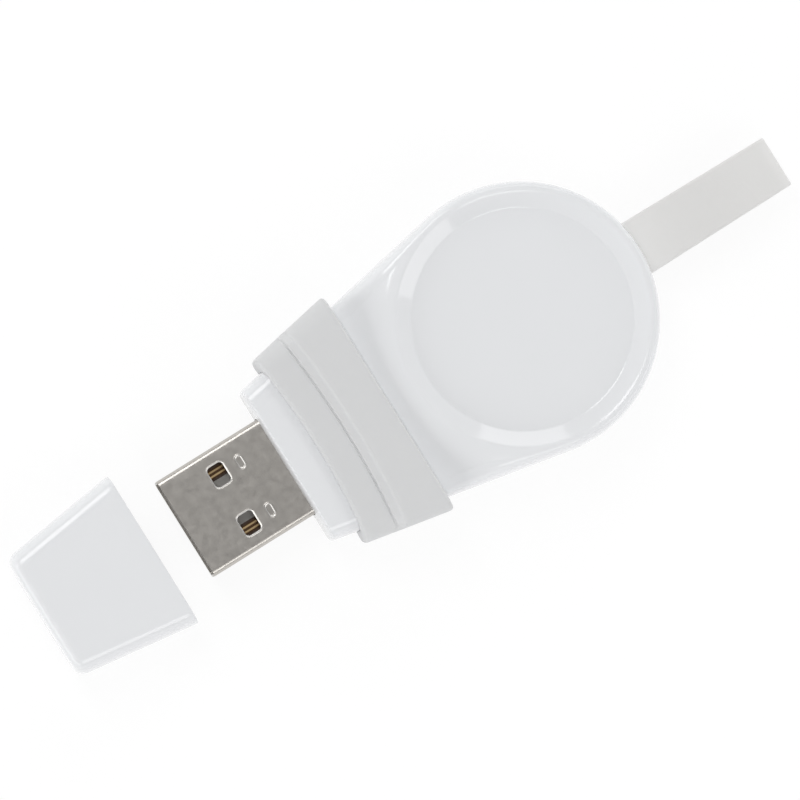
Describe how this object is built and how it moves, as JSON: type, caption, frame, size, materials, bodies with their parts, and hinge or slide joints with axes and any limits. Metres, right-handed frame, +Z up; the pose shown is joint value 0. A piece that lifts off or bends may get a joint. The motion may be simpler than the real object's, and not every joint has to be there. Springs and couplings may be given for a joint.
{
  "type": "portable smartwatch charger with plug, cap and strap loop",
  "caption": "Pocket smartwatch charger: dished round charging disc on a tapered neck with a plug, a soft two-step sleeve, a strap loop and a pull-off cap that lies in front of the plug.",
  "frame": {"origin": "on the flat underside, below the centre of the charging disc", "axes": "+X runs from the plug to the strap loop, +Z up out of the dish, and the part lies on z = 0"},
  "size_m": [0.0944, 0.0302, 0.0107],
  "materials": {
    "gloss_white": "glossy white moulded plastic",
    "grey_silicone": "matte light grey silicone",
    "pale_silicone": "matte pale grey silicone",
    "plated_shell": "satin nickel plated sheet steel",
    "bright_steel": "plain drawn steel",
    "tongue_plastic": "matte grey moulded plastic",
    "gold_contact": "gold plated contact",
    "board_green": "green solder mask",
    "chip_black": "black moulded chip",
    "ferrite_grey": "dark grey ferrite",
    "capacitor_tan": "tan ceramic",
    "copper_wire": "enamelled copper wire",
    "tray_plastic": "matte white moulded plastic",
    "magnet_nickel": "nickel plated magnet"
  },
  "bodies": {
    "charger": {"upper_housing": "gloss_white", "lower_housing": "gloss_white", "sleeve": "grey_silicone", "strap_loop": "pale_silicone", "strap_pin": "bright_steel", "usb_shell": "plated_shell", "usb_tongue": "tongue_plastic", "usb_contact_1": "gold_contact", "usb_contact_2": "gold_contact", "usb_contact_3": "gold_contact", "usb_contact_4": "gold_contact", "circuit_board": "board_green", "control_chip": "chip_black", "bridge_chip": "chip_black", "power_inductor": "ferrite_grey", "capacitor_1": "capacitor_tan", "capacitor_2": "capacitor_tan", "capacitor_3": "capacitor_tan", "capacitor_4": "capacitor_tan", "charging_coil": "copper_wire", "coil_lead_1": "copper_wire", "coil_lead_2": "copper_wire", "ferrite_ring": "ferrite_grey", "coil_tray": "tray_plastic", "magnet": "magnet_nickel", "magnet_plate": "bright_steel"},
    "cap": {"cap": "gloss_white"}
  },
  "joints": [
    {"name": "cap_pull", "type": "slide", "parent": "charger", "child": "cap", "axis": [1, 0, 0], "range_m": [0, 0.0168]}
  ]
}
